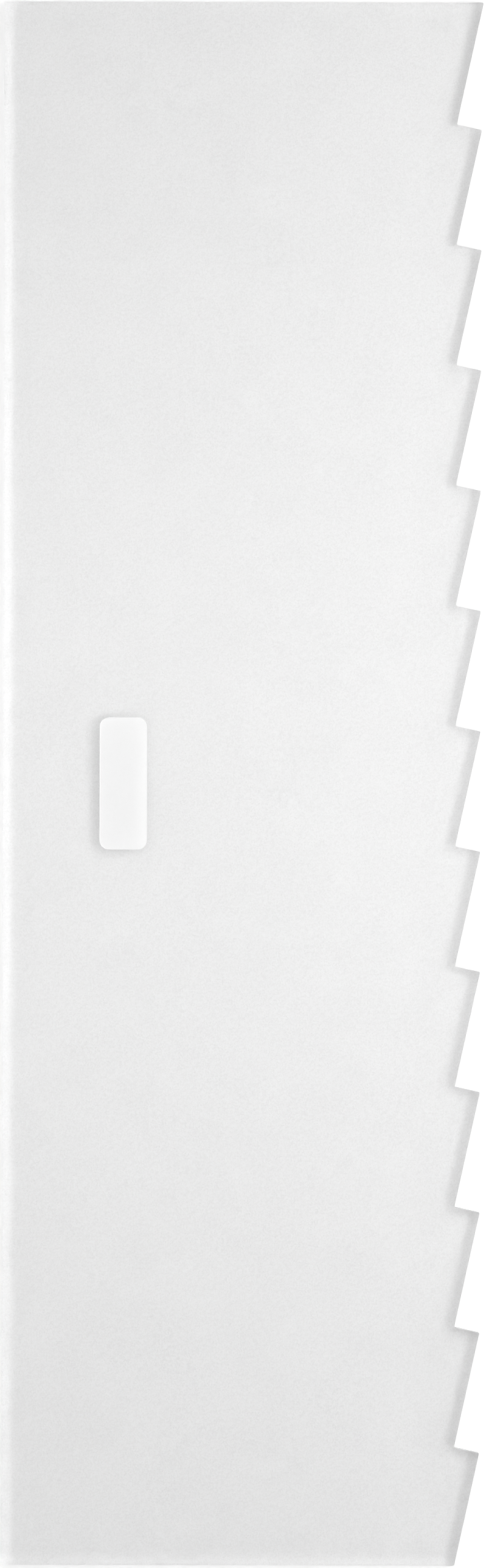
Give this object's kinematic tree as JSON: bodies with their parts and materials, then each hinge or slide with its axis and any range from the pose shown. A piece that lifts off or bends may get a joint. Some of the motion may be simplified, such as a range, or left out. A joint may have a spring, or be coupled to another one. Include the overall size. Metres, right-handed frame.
{
  "type": "cake side scraper",
  "caption": "Tall flat blade of frosted plastic with one straight edge and one stepped edge, drawn round a cake on end to leave pleats in its icing.",
  "frame": {"origin": "middle of the blade's outer box, on the back face that it lies on", "axes": "+X across the blade towards the stepped edge, +Y along the blade away from the end that stands on the board, +Z out of the front face"},
  "size_m": [0.0798, 0.26, 0.003],
  "materials": {
    "frosted_plastic": "colourless plastic with a fine frosted texture on both faces and smoother edges"
  },
  "bodies": {
    "root": {"scraper_blade": "frosted_plastic"}
  },
  "joints": []
}
